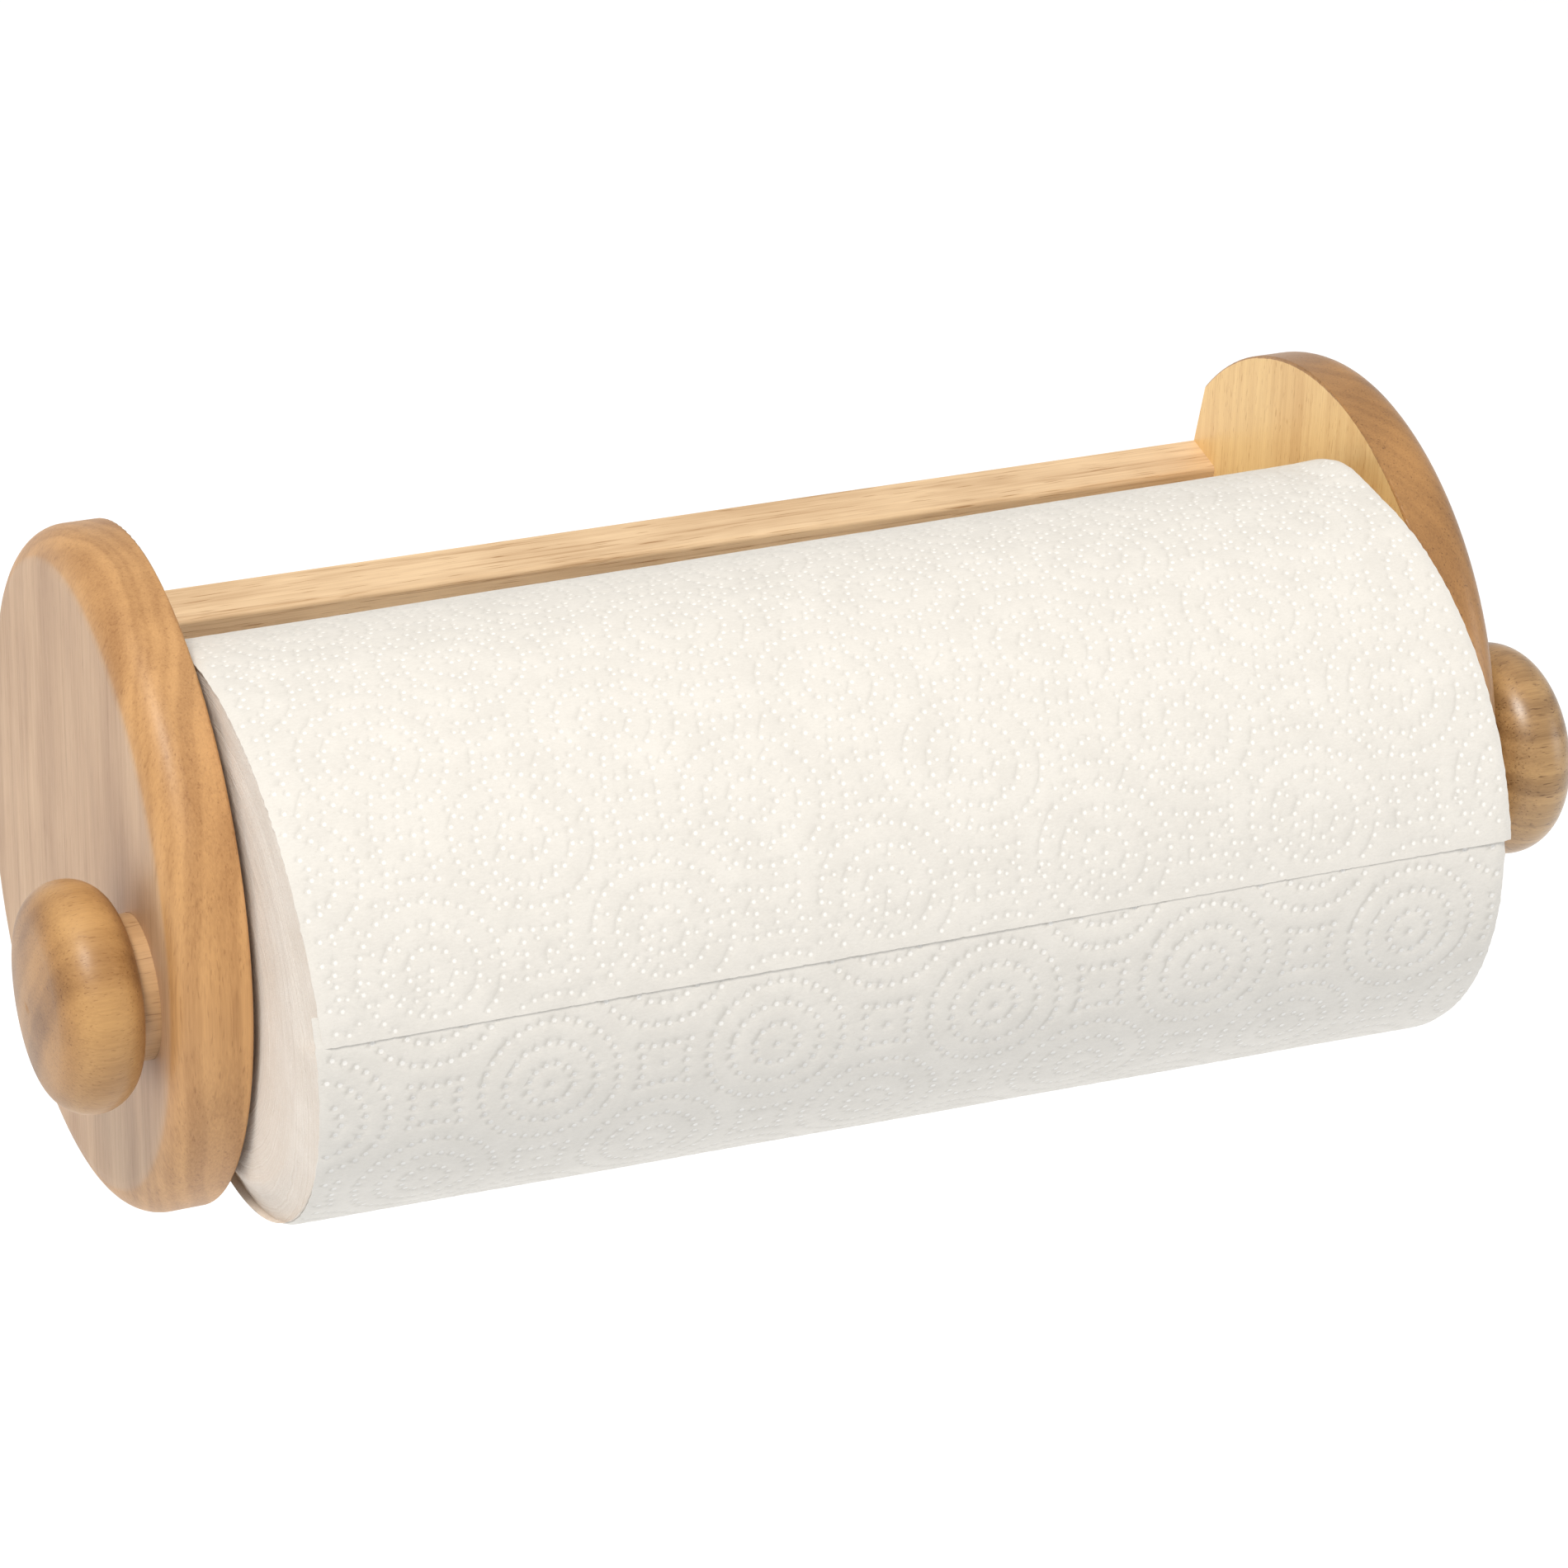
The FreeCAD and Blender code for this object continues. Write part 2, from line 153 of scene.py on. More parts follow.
def wood(name, face, side, grain, pith, ring=4.5 * MM, sway=12 * MM, figure=0.5,
         streaky=0.5, pores=0.6, pore_length=5 * MM, shift=(0.0, 0.0, 0.0), lean=0.0,
         turn=(0.94, 0.998), roughness=0.42, coat=0.25):
    """Satin lacquered hardwood: soft growth rings round a pith line, fibres and pores.

    face and side are (pale, deep) colours where the surface faces along X and elsewhere, partly
    the wood's own difference between its faces and its end grain and partly painted light and
    shade for how each facing is lit;
    turn holds the shares of the normal along X between which one becomes the other.
    """
    graph = Graph(name)
    coordinates = graph.node("TexCoord").outputs
    moved = graph.node("VectorMath", {0: coordinates["Object"], 1: shift}, operation="ADD")
    leant = graph.node("VectorRotate", {"Vector": moved.outputs[0], "Angle": math.radians(lean)},
                       rotation_type="X_AXIS")
    axes = graph.split(leant.outputs[0])
    along = axes[AXIS[grain]]
    first, second = (axes[k] for k in range(3) if k != AXIS[grain])
    local = graph.node("CombineXYZ", {0: first, 1: second, 2: along}).outputs[0]

    wander = graph.noise(local, (45 * MM, 45 * MM, 190 * MM))
    ripple = graph.noise(local, (7 * MM, 7 * MM, 70 * MM))
    radius = graph.hypotenuse(graph.math("SUBTRACT", first, pith[0]),
                              graph.math("SUBTRACT", second, pith[1]))
    radius = graph.math("MULTIPLY_ADD", wander, sway, radius)
    radius = graph.math("MULTIPLY_ADD", ripple, 1.5 * MM, radius)
    season = graph.line_noise(graph.math("DIVIDE", radius, ring), 1.5)
    bands = graph.ramp(season, 0.30, 0.72)

    fibre = graph.noise(local, (0.5 * MM, 0.5 * MM, 26 * MM), 3.0, 0.6)
    cloud = graph.noise(local, (16 * MM, 16 * MM, 40 * MM), 3.0, 0.55)
    pore = graph.noise(local, (0.40 * MM, 0.40 * MM, pore_length), 1.0, 0.4, 0.2)
    pore = graph.ramp(pore, 0.62, 0.74)
    streaks = graph.noise(local, (1.1 * MM, 1.1 * MM, 60 * MM), 3.0, 0.65)
    streaks = graph.ramp(streaks, 0.50, 0.78)

    tone = graph.math("MULTIPLY", bands, figure)
    tone = graph.math("MULTIPLY_ADD", graph.ramp(cloud, 0.3, 0.7), 0.30, tone)
    tone = graph.math("MULTIPLY_ADD", graph.ramp(fibre, 0.25, 0.75), 0.22, tone)
    tone = graph.math("MULTIPLY_ADD", streaks, streaky, tone)
    tone = graph.math("MULTIPLY_ADD", pore, pores, tone)
    tone = graph.math("SUBTRACT", tone, 0.12, clamp=True)
    # face or side colour by the normal: partly the grain's own, partly painted light and shade
    facing = graph.math("ABSOLUTE", graph.split(coordinates["Normal"])[0])
    facing = graph.ramp(facing, *turn)
    pale = graph.mix(facing, side[0], face[0])
    deep = graph.mix(facing, side[1], face[1])

    return graph.finish(
        graph.mix(tone, pale, deep),
        graph.math("MULTIPLY_ADD", fibre, 0.16, roughness - 0.08),
        graph.math("MULTIPLY_ADD", pore, -0.8, graph.math("MULTIPLY", fibre, 0.5)),
        0.30, 0.06 * MM, Coat_Weight=coat, Coat_Roughness=0.30, Specular_IOR_Level=0.40)


def dress(node_name, material):
    """Give a CAD node its finished material."""
    node = nodes[node_name]
    node.data.materials.clear()
    node.data.materials.append(material)


def dress_wood():
    """Each piece was cut from its own board, so its colour and figure are its own; its face and
    rim colours also hold painted light and shade for how each is lit.
    """
    beige = (rgb(206, 171, 135), rgb(157, 117, 83))
    amber = (rgb(208, 160, 106), rgb(146, 100, 58))
    honey = (rgb(248, 211, 146), rgb(204, 152, 88))
    brown = (rgb(181, 134, 82), rgb(116, 80, 48))
    pale = (rgb(236, 206, 166), rgb(170, 130, 88))
    turned = (rgb(203, 158, 102), rgb(152, 108, 62))
    end_grain = (rgb(184, 138, 86), rgb(112, 74, 40))
    olive = (rgb(190, 153, 105), rgb(116, 84, 51))
    dress("end_plate_left", wood("plate_wood_left", beige, amber, "Z", (-0.290, -0.070),
                                 ring=3.6 * MM, figure=0.31, streaky=0.30, pores=0.26,
                                 lean=14.0, roughness=0.50, coat=0.12))
    dress("end_plate_right", wood("plate_wood_right", honey, brown, "Z", (0.290, -0.050),
                                  ring=3.2 * MM, figure=0.18, streaky=0.20, pores=0.45,
                                  pore_length=3 * MM, shift=(0.3, 0.2, 0.1), lean=14.0))
    dress("back_rail", wood("rail_wood", pale, pale, "X", (0.050, 0.080),
                            shift=(0.0, 0.1, 0.0), ring=4 * MM, figure=0.22, streaky=0.62,
                            pores=0.6, pore_length=12 * MM))
    dress("knob_left", wood("knob_wood_left", end_grain, turned, "X", (0.004, 0.058),
                            ring=10 * MM, sway=8 * MM, figure=0.42, streaky=0.25, pores=0.40,
                            pore_length=2 * MM, turn=(0.45, 0.92), roughness=0.46, coat=0.15))
    dress("knob_right", wood("knob_wood_right", olive, olive, "X", (-0.110, 0.300),
                             shift=(0.37, 0.0, 0.0), ring=4 * MM, sway=8 * MM, figure=0.36,
                             streaky=0.34, roughness=0.38, coat=0.45))
    dress("rod", wood("rod_wood", beige, (rgb(204, 166, 122), rgb(152, 114, 76)), "X",
                      (-0.10, 0.05), figure=0.2, streaky=0.3))
    beech = wood("dowel_wood", pale, pale, "X", (0.0, 0.03), ring=2 * MM)
    for name in nodes:
        if name.startswith("dowel"):
            dress(name, beech)


# ---------------------------------------------------------------- paper and cardboard


def paper_material():
    """Soft warm-white tissue: cloudy fibres, fine crepe lines along the roll."""
    graph = Graph("paper")
    place = graph.place()
    fibres = graph.noise(place, (0.9 * MM, 0.45 * MM, 0.45 * MM), 3.0, 0.65, 0.4)
    crepe = graph.noise(place, (3.2 * MM, 0.35 * MM, 0.35 * MM), 2.0, 0.6)
    cloud = graph.noise(place, (9 * MM, 9 * MM, 9 * MM), 3.0, 0.55)
    specks = graph.ramp(graph.noise(place, (0.5 * MM, 0.5 * MM, 0.5 * MM), 1.0), 0.72, 0.80)
    tone = graph.math("MULTIPLY_ADD", fibres, 0.5, graph.math("MULTIPLY", cloud, 0.5))
    colour = graph.mix(graph.ramp(tone, 0.3, 0.7), rgb(221, 218, 212), rgb(231, 228, 222))
    colour = graph.mix(graph.math("MULTIPLY", specks, 0.25), colour, rgb(196, 184, 164))
    # painted light on the embossed dots: a painted highlight whitens each dot's bottom, and
    # painted shade darkens one side of its rim
    painted_dot_light = graph.node("Attribute", attribute_name="painted_dot_light").outputs["Fac"]
    colour = graph.mix(graph.ramp(painted_dot_light, 0.25, 0.90), colour, rgb(250, 249, 246))
    shaded = graph.ramp(graph.math("MULTIPLY", painted_dot_light, -1.0), 0.08, 0.75, 0.0, 0.55)
    return graph.finish(
        graph.mix(shaded, colour, rgb(186, 182, 174)),
        graph.math("MULTIPLY_ADD", fibres, 0.15, 0.82),
        graph.math("MULTIPLY_ADD", crepe, 0.5, fibres), 0.5, 0.10 * MM,
        Specular_IOR_Level=0.15, Sheen_Weight=0.10, Sheen_Roughness=0.6)


def paper_edge_material():
    """The roll's ends: hundreds of cut layers, fuzzy with short fibres."""
    graph = Graph("paper_ends")
    place = graph.place()
    axes = graph.split(place)
    radius = graph.hypotenuse(graph.math("SUBTRACT", axes[1], CORE_CENTRE[0]),
                              graph.math("SUBTRACT", axes[2], CORE_CENTRE[1]))
    blur = graph.noise(place, (4 * MM, 4 * MM, 4 * MM), 3.0)
    radius = graph.math("MULTIPLY_ADD", blur, 1.2 * MM, radius)
    layers = graph.line_noise(graph.math("DIVIDE", radius, 0.42 * MM), 2.0)
    fuzz = graph.noise(place, (0.5 * MM, 0.5 * MM, 0.5 * MM), 3.0, 0.7, 1.5)
    cloud = graph.noise(place, (12 * MM, 12 * MM, 12 * MM), 2.0)
    tone = graph.math("MULTIPLY_ADD", fuzz, 0.45, graph.math("MULTIPLY", layers, 0.35))
    tone = graph.math("MULTIPLY_ADD", cloud, 0.3, tone)
    return graph.finish(
        graph.mix(graph.ramp(tone, 0.35, 0.75), rgb(222, 211, 199), rgb(241, 234, 226)),
        graph.math("MULTIPLY_ADD", fuzz, 0.1, 0.88),
        graph.math("MULTIPLY_ADD", layers, 0.8, fuzz), 0.7, 0.25 * MM,
        Specular_IOR_Level=0.10, Sheen_Weight=0.15, Sheen_Roughness=0.6)


def cardboard_material():
    """Grey-brown wound board with faint spiral ply lines and fibres."""
    graph = Graph("cardboard")
    place = graph.place()
    fibres = graph.noise(place, (2.0 * MM, 0.5 * MM, 0.5 * MM), 3.0, 0.65, 0.6)
    blotch = graph.noise(place, (14 * MM, 8 * MM, 8 * MM), 3.0)
    axes = graph.split(place)
    lean = graph.math("MULTIPLY_ADD", axes[2], 0.8, axes[0])
    ply = graph.math("PINGPONG", graph.math("DIVIDE", lean, 46 * MM), 1.0)
    ply = graph.ramp(ply, 0.0, 0.03, 0.6, 0.0)
    tone = graph.math("MULTIPLY_ADD", fibres, 0.5, graph.math("MULTIPLY", blotch, 0.4))
    colour = graph.mix(graph.ramp(tone, 0.3, 0.65), rgb(150, 122, 92), rgb(182, 154, 122))
    return graph.finish(
        graph.mix(ply, colour, rgb(112, 88, 64)),
        graph.math("MULTIPLY_ADD", fibres, 0.15, 0.78),
        fibres, 0.5, 0.12 * MM, Specular_IOR_Level=0.2)


# ---------------------------------------------------------------- the paper roll

roll_low, roll_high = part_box("paper_roll")
core_low, core_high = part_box("roll_core")
LEFT_END, RIGHT_END = roll_low[0], roll_high[0]
LENGTH = RIGHT_END - LEFT_END
CORE_CENTRE = ((core_low[1] + core_high[1]) / 2, (core_low[2] + core_high[2]) / 2)
CORE_RADIUS = (core_high[2] - core_low[2]) / 2

LEFT_CENTRE = (CORE_CENTRE[0] + 6.0 * MM, CORE_CENTRE[1] + 8.0 * MM)
RIGHT_CENTRE = (CORE_CENTRE[0] + 6.0 * MM, CORE_CENTRE[1] + 6.0 * MM)
LEFT_RADIUS = 64.5 * MM
RIGHT_RADIUS = 68.2 * MM
OVAL = (1.04, 0.955)            # the roll is a little flattened from above
TAIL_ANGLE = math.radians(158.9)
TWIST = math.radians(1.3)       # turn of the tail's edge between the roll's ends
SHEET = 0.22 * MM               # paper's thickness at its edges
LOFT = 0.80 * MM                # and where it is embossed
STEP = 0.28 * MM                # loss of radius round the outer turn
TUCK = 7 * MM                   # of the outer turn under its own tail
TUCK_DROP = 0.40 * MM           # how far the tucked paper lies under the tail
CLEARANCE = 0.06 * MM           # between the outer turn and the roll under it
SLANT = 1.4 * MM                # the tail's edge has slid this far along the roll
SLANT_RUN = 60 * MM             # paper length over which the sliding dies away
EDGE_INSET = 0.6 * MM           # of the sheet's left edge from the roll's end, in front
EDGE_LEAN = 2.4 * MM            # more than that at the bottom, and less at the top
EDGE_REACH = 1.6 * MM           # the most that it stands out past the roll's end
EDGE_DROP = 0.55 * MM           # the sheet curls down this far at both sides
EDGE_WIDTH = 2.4 * MM           # over this width
LIP = 2.3 * MM                  # the right edge stands up this far,
LIP_WIDTH = 9 * MM              # over this width
LIP_RUN = 110 * MM              # and round this paper length,
LIP_REACH = 20 * MM             # up to this far from it
BORE_GAP = 0.2 * MM             # between the cardboard core and the paper
LAYERS = 58                     # rings of paper edges that an end shows
BLEND_RUN = 14 * MM             # paper length over which the body rises past the tuck

DOT_STEP = 2.8 * MM
RING_STEP = 5.2 * MM
REPEAT = 25.75 * MM             # half the distance between rosettes in a row
FIRST_ROW = 13.6 * MM           # paper length from the tail's edge to a row of rosettes
FIRST_COLUMN = -13.6 * MM       # and x of a rosette in that row
DRAWN_RUN = 95 * MM             # over the top the pattern is drawn closer together,
DRAWN_FLAT = 100.2 * MM         # so this much pattern lies on DRAWN_RUN of paper
DRAWN_REST = 0.9906             # pattern length per paper length on the rest
TOP_RUN = 150 * MM              # paper length from the tail's edge that faces up
DOT_DEPTH = 0.56 * MM
DOT_RADIUS = 0.92 * MM
DOT_MARGIN = 1.3 * MM           # from the sheet's edges
RIM_DEPTH = 0.10                # share of its depth that a dot has at its rim
GHOST_DEPTH = 0.36 * MM         # ghosts are dots printed through from the turn below
GHOST_RADIUS = 0.78 * MM
GHOST_ROW = 23.5 * MM
GHOST_COLUMN = 3.1 * MM
GHOST_MARGIN = 3 * MM
GHOST_LAST = 140 * MM           # paper length where they fade out
GHOST_SPACE = 1.62 * MM         # a ghost nearer than this to a dot is lost in it
FILL_STEP = 2.1 * MM            # between the sheet's points where it has no dots
FILL_ROW = 0.866 * FILL_STEP    # between rows of a triangular grid
SIX_ANGLES = np.arange(6) * math.pi / 3
DARK_SIDE = math.radians(155)   # side of a dot on which its shade is painted

# a dot's share of DOT_DEPTH, the strength of the painted highlight on its bottom and of the
# painted shade on one side of its rim
DEPTH_SHARE = {"top": 0.76, "front": 0.95}
WHITE = {"top": 1.15, "front": 1.5, "ghost": 1.05}
DARK = {"top": 0.56, "front": 0.76, "ghost": 0.54}
# a faint painted highlight on every dot's rim points
RIM_WHITE = 0.1

chance = np.random.default_rng(7)

# length of paper from the tail's edge, up over the top and round
turns_back = np.linspace(0.0, 2 * math.pi * 1.04, 3001)
mean_radius = (LEFT_RADIUS + RIGHT_RADIUS) / 2
speed = mean_radius * np.hypot(OVAL[0] * np.sin(TAIL_ANGLE - turns_back),
                               OVAL[1] * np.cos(TAIL_ANGLE - turns_back))
paper_run = np.concatenate(([0.0], np.cumsum((speed[1:] + speed[:-1]) / 2
                                             * np.diff(turns_back))))
GIRTH = float(np.interp(2 * math.pi, turns_back, paper_run))


def smooth(value):
    """0 to 1 with soft ends."""
    share = np.clip(value, 0.0, 1.0)
    return share * share * (3 - 2 * share)


def on_roll(x, run, out):
    """Points on the roll: x along it, paper length from the tail's edge, height above it."""
    angle = TAIL_ANGLE - np.interp(run, paper_run, turns_back) - TWIST * x / LENGTH
    share = (x - LEFT_END) / LENGTH
    radius = LEFT_RADIUS + (RIGHT_RADIUS - LEFT_RADIUS) * share
    centre_y = LEFT_CENTRE[0] + (RIGHT_CENTRE[0] - LEFT_CENTRE[0]) * share
    centre_z = LEFT_CENTRE[1] + (RIGHT_CENTRE[1] - LEFT_CENTRE[1]) * share
    wide, high = OVAL[0] * radius, OVAL[1] * radius
    normal_y, normal_z = np.cos(angle) * high, np.sin(angle) * wide
    size = np.hypot(normal_y, normal_z)
    return np.stack((x, centre_y + wide * np.cos(angle) + out * normal_y / size,
                     centre_z + high * np.sin(angle) + out * normal_z / size), axis=-1)


def waves(x, run):
    """Slow unevenness of wound paper, about 0.1 mm."""
    return 0.05 * MM * (np.sin(x / (23 * MM) + 1.0) * np.cos(run / (31 * MM))
                        + np.sin(x / (41 * MM) - run / (57 * MM) + 2.0)
                        + 0.7 * np.sin(x / (11 * MM) + run / (17 * MM)))


def left_edge(run):
    """How far the sheet's left edge stands inside the roll's end: more below than on top."""
    angle = TAIL_ANGLE - np.interp(run, paper_run, turns_back)
    inset = EDGE_INSET - EDGE_LEAN * np.sin(angle) + SLANT * np.exp(-run / SLANT_RUN)
    return np.maximum(inset, -EDGE_REACH)


def outer_height(x, run):
    """The outer turn's height above the roll's mean surface, without its dots."""
    height = STEP * (0.5 - run / GIRTH) + waves(x, run)
    height -= TUCK_DROP * smooth((run - GIRTH) / (2.5 * MM))
    tail_lift = 0.05 + 0.05 * np.sin(x / (26 * MM) + 2.2) + 0.02 * np.sin(x / (9 * MM))
    height += tail_lift * MM * np.exp(-run / (5 * MM))
    from_end = np.minimum(x - LEFT_END, RIGHT_END - x)
    height -= EDGE_DROP * smooth(1 - from_end / EDGE_WIDTH) ** 2
    lip = smooth(1 - np.abs(run - LIP_RUN) / LIP_REACH)
    height += LIP * lip * smooth(1 - (RIGHT_END - x) / LIP_WIDTH)
    return height


def rosette_dots():
    """One rosette's dots, and the small square of dots in the gap beside it."""
    rosette = [(0.0, 0.0)]
    for ring in (1, 2, 3):
        count = round(2 * math.pi * ring * RING_STEP / DOT_STEP)
        for k in range(count):
            angle = 2 * math.pi * (k + 0.5 * ring) / count
            rosette.append((ring * RING_STEP * math.cos(angle),
                            ring * RING_STEP * math.sin(angle)))
    square = [(0.0, 0.0)]
    reach = 4 * RING_STEP
    for quarter in range(4):
        for k in (-1, 0, 1, 2):
            angle = k * DOT_STEP / reach
            x, y = REPEAT - reach * math.cos(angle), reach * math.sin(angle)
            for _ in range(quarter):
                x, y = -y, x
            square.append((x, y))
    return np.array(rosette), np.array(square)


def pattern(x, run, rows):
    """Rows of rosettes with squares between them, starting from a rosette at (x, run)."""
    rosette, square = rosette_dots()
    return np.concatenate([
        (rosette if (row + column) % 2 == 0 else square)
        + (x + column * REPEAT, run + row * REPEAT)
        for row in rows for column in range(-7, 8)])


def clipped(dots, margin, first, last):
    """The dots that are a margin inside the roll's ends and between two paper lengths."""
    return dots[(dots[:, 0] > LEFT_END + margin) & (dots[:, 0] < RIGHT_END - margin)
                & (dots[:, 1] > first) & (dots[:, 1] < last)]


def search_tree(dots):
    tree = KDTree(len(dots))
    for k, dot in enumerate(dots):
        tree.insert((dot[0], dot[1], 0.0), k)
    tree.balance()
    return tree


def dot_centres():
    """Every embossed dot as (x, run)."""
    dots = pattern(FIRST_COLUMN, FIRST_ROW, range(-1, 18))
    dots += chance.normal(0.0, 0.06 * MM, dots.shape)
    end = GIRTH + TUCK
    paper = (0.0, DRAWN_RUN, end)
    drawn = (0.0, DRAWN_FLAT, DRAWN_FLAT + (end - DRAWN_RUN) * DRAWN_REST)
    dots[:, 1] = np.interp(dots[:, 1], drawn, paper, left=-1.0, right=9.0)
    return clipped(dots, DOT_MARGIN, DOT_MARGIN, end - 1.5 * MM)


def ghost_dots(dots):
    """Faint dots printed through from the turn below, on the top and front of the roll."""
    ghosts = clipped(pattern(GHOST_COLUMN, GHOST_ROW, range(-1, 6)), GHOST_MARGIN,
                     GHOST_MARGIN, GHOST_LAST)
    real = search_tree(dots)
    return np.array([g for g in ghosts if real.find((g[0], g[1], 0.0))[2] > GHOST_SPACE])


def triangulate(loop, inner):
    """Triangles, facing up, over a rectangle whose closed edge comes first."""
    points = np.concatenate((loop, inner)) / MM
    count = len(loop)
    edges = [(k, (k + 1) % count) for k in range(count)]
    made = delaunay_2d_cdt([Vector(p) for p in points], edges, [], 0, 1e-7, False)
    if len(made[0]) != len(points):
        raise RuntimeError("the triangulation changed the points")
    return np.array(made[2])


def spread(low, high, step):
    return np.linspace(low, high, max(2, round((high - low) / step) + 1))


def sheet_edge(end):
    """The flat sheet's edge as (x, run): its tail, right side, hidden end and left side."""
    x_tail = spread(LEFT_END, RIGHT_END, 0.8 * MM)
    x_back = spread(RIGHT_END, LEFT_END, -2.8 * MM)
    side = spread(0.0, end, 1.3 * MM)
    return np.concatenate((
        np.stack((x_tail, np.zeros_like(x_tail)), 1)[:-1],
        np.stack((np.full_like(side, RIGHT_END), side), 1)[:-1],
        np.stack((x_back, np.full_like(x_back, end)), 1)[:-1],
        np.stack((np.full_like(side, LEFT_END), side[::-1]), 1)[:-1]))


def plain_points(end, dots):
    """The sheet's points between its dots, closer together along its edges."""
    near = search_tree(dots)

    def clear(x, run, space):
        return near.find((x, run, 0.0))[2] > space

    found = []
    for k, run in enumerate(np.arange(3 * MM, end - 1.2 * MM, FILL_ROW)):
        shift = (k % 2) * FILL_STEP / 2
        found += [(x, run) for x in np.arange(LEFT_END + 3 * MM + shift, RIGHT_END - 2.8 * MM,
                                              FILL_STEP) if clear(x, run, 1.25 * MM)]
    for run in (0.8 * MM, 1.9 * MM):
        found += [(x, run) for x in spread(LEFT_END + 2 * MM, RIGHT_END - 2 * MM, 1.4 * MM)
                  if clear(x, run, 1.0 * MM)]
    for inset in (0.6 * MM, 1.4 * MM):
        found += [(x, run) for run in spread(1.6 * MM, end - 1.6 * MM, 1.5 * MM)
                  for x in (LEFT_END + inset, RIGHT_END - inset) if clear(x, run, 0.95 * MM)]
    return np.array(found)


def hexagons(centres, radius):
    """Six points round each centre."""
    rim = np.stack((np.cos(SIX_ANGLES), np.sin(SIX_ANGLES)), 1)
    return (centres[:, None, :] + radius * rim[None]).reshape(-1, 2)


def place_sheet(flat, edge_count, ragged, depth):
    """Wrap flat points (x, run) round the roll, some depth below its surface.

    The first edge_count points are the sheet's edge, which is a little ragged.
    """
    x, run = flat[:, 0].copy(), flat[:, 1].copy()
    height = outer_height(x, run) - depth
    at_tail = run[:edge_count] < 1e-9
    run[:edge_count] += np.where(at_tail, 0.06 * MM * ragged, 0.0)
    at_end = ((x <= LEFT_END + 1e-9) | (x >= RIGHT_END - 1e-9))[:edge_count]
    from_right = (RIGHT_END - x) / LENGTH
    shifted = x + left_edge(run) * from_right
    shifted += SLANT * np.exp(-run / SLANT_RUN) * (1 - from_right)
    shifted[:edge_count] += np.where(at_end, 0.07 * MM * ragged, 0.0)
    made = on_roll(x, run, height)
    made[:, 0] = shifted
    return made


def outer_turn():
    """The roll's outer turn of paper, embossed, from its torn tail all the way round.

    Its point attribute says how strongly a painted highlight whitens a dot's bottom (above 0)
    and how strongly painted shade darkens the side of its rim towards DARK_SIDE (below 0); this
    paint is fixed to the roll and does not follow the light.
    """
    end = GIRTH + TUCK
    edge = sheet_edge(end)
    dots = dot_centres()
    ghosts = ghost_dots(dots)
    plain = plain_points(end, np.concatenate((dots, ghosts)))
    inner = np.concatenate((dots, hexagons(dots, DOT_RADIUS),
                            ghosts, hexagons(ghosts, GHOST_RADIUS), plain))
    top = triangulate(edge, inner)
    coarse = np.array([(x, run) for run in spread(2.5 * MM, end - 2.5 * MM, 4 * MM)
                       for x in spread(LEFT_END + 2.5 * MM, RIGHT_END - 2.5 * MM, 5 * MM)])
    under = triangulate(edge, coarse)

    on_top = dots[:, 1] < TOP_RUN
    dot_depth = DOT_DEPTH * chance.normal(1.0, 0.12, len(dots))
    dot_depth *= np.where(on_top, DEPTH_SHARE["top"], DEPTH_SHARE["front"])
    ghost_depth = GHOST_DEPTH * chance.uniform(0.7, 1.2, len(ghosts))
    depth = np.concatenate((np.zeros(len(edge)), dot_depth,
                            np.repeat(dot_depth, 6) * RIM_DEPTH,
                            ghost_depth, np.zeros(6 * len(ghosts) + len(plain))))
    drop = np.concatenate((np.full(len(edge), SHEET), np.full(len(coarse), LOFT)))

    # painted shade on the rim points on each dot's DARK_SIDE, the same under any light
    shade = np.clip(np.cos(SIX_ANGLES - DARK_SIDE), 0.0, 1.0)
    dot_shade = np.where(on_top, DARK["top"], DARK["front"])[:, None] * shade[None]
    # painted light per point: a painted highlight above 0 and painted shade below 0
    painted_dot_light = np.concatenate((
        np.zeros(len(edge)),
        np.where(on_top, WHITE["top"], WHITE["front"]), RIM_WHITE - dot_shade.ravel(),
        np.full(len(ghosts), WHITE["ghost"]),
        np.tile(RIM_WHITE - DARK["ghost"] * shade, len(ghosts)),
        np.zeros(len(plain) + len(edge) + len(coarse))))

    ragged = chance.normal(0.0, 1.0, len(edge))
    outside = place_sheet(np.concatenate((edge, inner)), len(edge), ragged, depth)
    inside = place_sheet(np.concatenate((edge, coarse)), len(edge), ragged, drop)
    first = len(outside)
    rim_a = np.arange(len(edge))
    rim_b = np.roll(rim_a, -1)
    faces = [tuple(f[::-1]) for f in top]
    faces += [tuple(f) for f in under + first]
    faces += list(zip(rim_a, rim_b, rim_b + first, rim_a + first))
    sheet = new_piece("outer_sheet", np.concatenate((outside, inside)), faces, 60)
    sheet.data.attributes.new("painted_dot_light", "FLOAT", "POINT").data.foreach_set("value", painted_dot_light)
    return sheet


def new_piece(name, points, faces, sharp):
    """A mesh object with smooth faces, and sharp edges above an angle in degrees."""
    mesh = bpy.data.meshes.new(name)
    mesh.from_pydata([tuple(p) for p in points], [], [tuple(int(k) for k in f) for f in faces])
    mesh.validate()
    mesh.shade_smooth()
    mesh.set_sharp_from_angle(angle=math.radians(sharp))
    mesh.update()
    piece = bpy.data.objects.new(name, mesh)
    bpy.context.scene.collection.objects.link(piece)
    return piece


